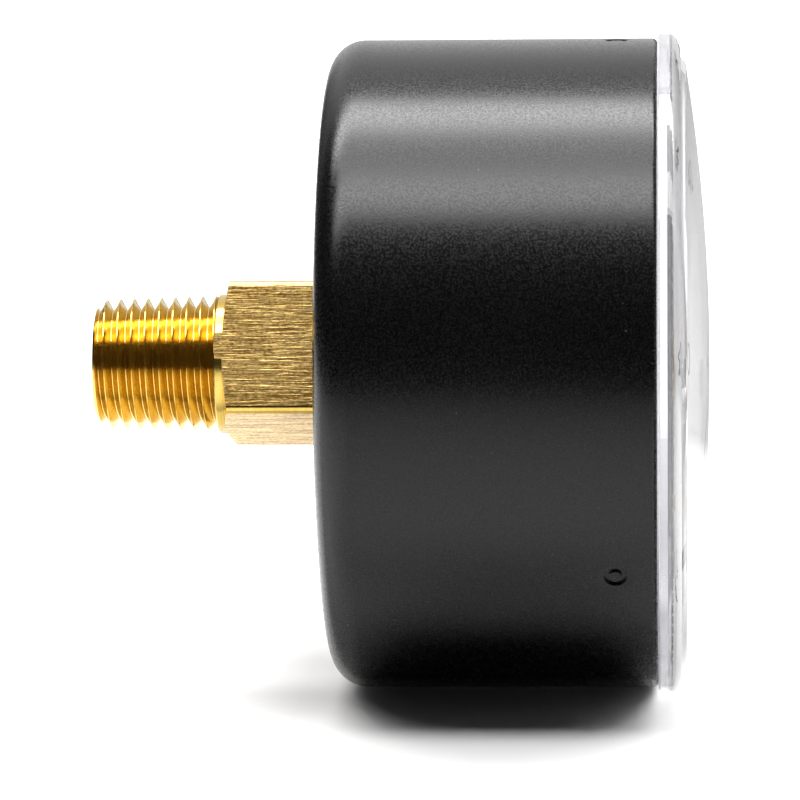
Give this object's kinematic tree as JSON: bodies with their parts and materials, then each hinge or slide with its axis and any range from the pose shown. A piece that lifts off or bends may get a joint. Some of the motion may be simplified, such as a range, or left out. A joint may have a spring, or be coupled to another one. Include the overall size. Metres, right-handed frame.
{
  "type": "pressure gauge",
  "caption": "Round dial pressure gauge with a black steel case, clear domed lens, white dial and a brass threaded stem with wrench flats on its back.",
  "frame": {"origin": "centre of the stem's free end, where the pressure port opens", "axes": "+Y leaves the stem along the gauge's axis, so the dial faces -Y; +Z is the dial's 12 o'clock"},
  "size_m": [0.0672, 0.0628, 0.0672],
  "materials": {
    "case": "satin",
    "lens": "clear plastic",
    "socket": "turned",
    "case_screws": "zinc plated",
    "passage_plug": "turned",
    "bourdon_tube": "drawn bronze",
    "tube_tip": "milled",
    "tip_pin": "bright",
    "link": "stamped",
    "sector_gear": "stamped",
    "sector_arbor": "bright",
    "sector_pin": "bright",
    "pinion": "turned",
    "movement_bottom_plate": "stamped",
    "movement_top_plate": "stamped",
    "movement_pillars": "turned",
    "pillar_screws": "bright",
    "movement_screws": "bright",
    "hairspring": "bronze strip",
    "hairspring_collet": "turned",
    "hairspring_stud": "turned",
    "dial_posts": "turned",
    "dial": "white enamel with a printed scale",
    "dial_screws": "bright",
    "stop_pin": "turned",
    "pointer": "black",
    "pointer_hub": "turned"
  },
  "bodies": {
    "gauge_body": {"case": "case", "lens": "lens", "socket": "socket", "case_screws": "case_screws", "passage_plug": "passage_plug", "bourdon_tube": "bourdon_tube", "movement_bottom_plate": "movement_bottom_plate", "movement_top_plate": "movement_top_plate", "movement_pillars": "movement_pillars", "pillar_screws": "pillar_screws", "movement_screws": "movement_screws", "hairspring": "hairspring", "hairspring_stud": "hairspring_stud", "dial_posts": "dial_posts", "dial": "dial", "dial_screws": "dial_screws", "stop_pin": "stop_pin"},
    "pointer_shaft": {"pinion": "pinion", "hairspring_collet": "hairspring_collet", "pointer": "pointer", "pointer_hub": "pointer_hub"},
    "sector": {"sector_gear": "sector_gear", "sector_arbor": "sector_arbor", "sector_pin": "sector_pin"},
    "tip": {"tube_tip": "tube_tip", "tip_pin": "tip_pin"},
    "link": {"link": "link"}
  },
  "joints": [
    {"name": "pointer_turn", "type": "hinge", "parent": "gauge_body", "child": "pointer_shaft", "pos_m": [0, -0.045, 0], "axis": [0, 1, 0], "range_deg": [0, 270], "stiffness_Nm_per_rad": 0.0002, "deforming": ["hairspring"]},
    {"name": "sector_turn", "type": "hinge", "parent": "gauge_body", "child": "sector", "pos_m": [0.0132, -0.042, -0.0094], "axis": [0, 1, 0], "range_deg": [-33.8, 0]},
    {"name": "tip_flex", "type": "hinge", "parent": "gauge_body", "child": "tip", "pos_m": [-0.00621, -0.0331, 0.00455], "axis": [0, 1, 0], "range_deg": [-6.12, 0], "deforming": ["bourdon_tube"]},
    {"name": "link_swing", "type": "hinge", "parent": "tip", "child": "link", "pos_m": [0.01798, -0.0415, 0.00672], "axis": [0, 1, 0], "range_deg": [0, 4.91]}
  ],
  "couplings": [
    {"joint": "sector_turn", "follows": "pointer_turn", "ratio": -0.125},
    {"joint": "tip_flex", "follows": "pointer_turn", "ratio": -0.022615},
    {"joint": "link_swing", "follows": "pointer_turn", "ratio": 0.018125}
  ]
}
